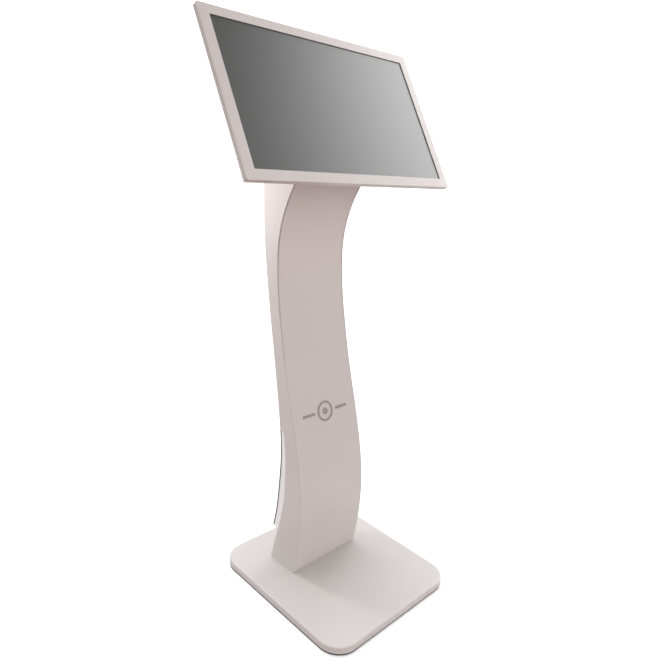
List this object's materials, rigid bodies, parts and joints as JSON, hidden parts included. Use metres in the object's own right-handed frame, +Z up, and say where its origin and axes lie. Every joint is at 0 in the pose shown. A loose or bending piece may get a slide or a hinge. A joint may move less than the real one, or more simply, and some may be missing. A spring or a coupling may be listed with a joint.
{
  "type": "touchscreen kiosk",
  "caption": "Free-standing touchscreen kiosk: a tilted wide screen head on a slim S-curved sheet-metal column and a weighted, rounded rectangular base, with a rear service door.",
  "frame": {"origin": "on the floor, under the middle of the whole kiosk's outline", "axes": "+Z up; the screen faces -Y and leans back; +X is the user's right when facing the screen"},
  "size_m": [0.7624, 0.5292, 1.5436],
  "materials": {
    "white_paint": "smooth satin powder coat, warm white",
    "door_paint": "smooth satin powder coat, cooler and a little lighter",
    "zinc_steel": "zinc-plated sheet",
    "dark_steel": "black oxide plate",
    "bright_steel": "bright machined steel",
    "lock_brass": "polished brass",
    "foot_rubber": "matt rubber",
    "trim_rubber": "matt grey rubber",
    "black_plastic": "fine moulded texture",
    "button_plastic": "fine moulded texture",
    "red_plastic": "gloss moulding",
    "filter_case": "pressed tinplate",
    "lead_jacket": "smooth jacket",
    "emblem_metal": "brushed, bronze tinted",
    "screen_glass": "anti-glare coated glass over an unlit panel",
    "panel_metal": "dark pressed shell",
    "green_board": "solder-resist green",
    "blue_board": "solder-resist blue",
    "fin_aluminium": "extruded, plain"
  },
  "bodies": {
    "kiosk": {"base_cover": "white_paint", "base_edging": "foot_rubber", "base_ballast_plate": "dark_steel", "base_feet": "foot_rubber", "foot_screws": "bright_steel", "column_foot_flange": "zinc_steel", "column_foot_bolts": "bright_steel", "column_front_skin": "white_paint", "column_cheek_left": "white_paint", "column_cheek_right": "white_paint", "column_upper_rear_panel": "white_paint", "column_diaphragms": "zinc_steel", "kick_panel": "white_paint", "kick_panel_screws": "bright_steel", "inlet_socket": "black_plastic", "inlet_pins": "bright_steel", "switch_housing": "black_plastic", "mains_filter": "filter_case", "mains_lead": "lead_jacket", "door_hinge_brackets": "zinc_steel", "door_hinge_pins": "bright_steel", "lock_striker": "zinc_steel", "column_emblem": "emblem_metal", "head_mount_plate": "zinc_steel", "head_mount_bolts": "bright_steel", "head_chassis": "zinc_steel", "rear_cover": "white_paint", "rear_cover_screws": "bright_steel", "rim_screws": "bright_steel", "bezel_frame": "white_paint", "front_seal": "foot_rubber", "cover_glass": "screen_glass", "glass_gasket": "foot_rubber", "lcd_panel": "panel_metal", "lcd_screws": "bright_steel", "main_board": "green_board", "heat_sink": "fin_aluminium", "storage_drive": "panel_metal", "lcd_driver_board": "blue_board", "power_supply": "filter_case", "touch_controller": "green_board", "board_screws": "bright_steel", "speaker_left": "black_plastic", "speaker_right": "black_plastic", "fan_frame": "black_plastic", "service_hatch": "white_paint", "hatch_screws": "bright_steel", "power_button_bezel": "bright_steel"},
    "service_door": {"service_door": "door_paint", "door_pivot_blocks": "zinc_steel", "door_edge_trim": "trim_rubber", "lock_barrel": "bright_steel", "lock_nut": "bright_steel"},
    "door_lock": {"lock_plug": "lock_brass", "lock_cam": "dark_steel"},
    "mains_rocker": {"switch_rocker": "red_plastic"},
    "cooling_fan": {"fan_rotor": "black_plastic"},
    "power_button": {"power_button": "button_plastic"}
  },
  "joints": [
    {"name": "door_swing", "type": "hinge", "parent": "kiosk", "child": "service_door", "pos_m": [0.108, 0.12442, 0.281], "axis": [0, 0, -1], "range_deg": [0, 105]},
    {"name": "lock_turn", "type": "hinge", "parent": "service_door", "child": "door_lock", "pos_m": [-0.088, 0.12483, 0.285], "axis": [0, -1, 0], "range_deg": [0, 90]},
    {"name": "rocker_tip", "type": "hinge", "parent": "kiosk", "child": "mains_rocker", "pos_m": [0.012, 0.1217, 0.06879], "axis": [-1, 0, 0], "range_deg": [0, 16]},
    {"name": "fan_spin", "type": "hinge", "parent": "kiosk", "child": "cooling_fan", "pos_m": [0.215, 0.19013, 1.3875], "axis": [0, -0.8616, 0.5075], "continuous": true},
    {"name": "button_press", "type": "slide", "parent": "kiosk", "child": "power_button", "axis": [0, -0.8616, 0.5075], "range_m": [0, 0.002], "stiffness_N_per_m": 800, "springref_m": -0.001}
  ]
}
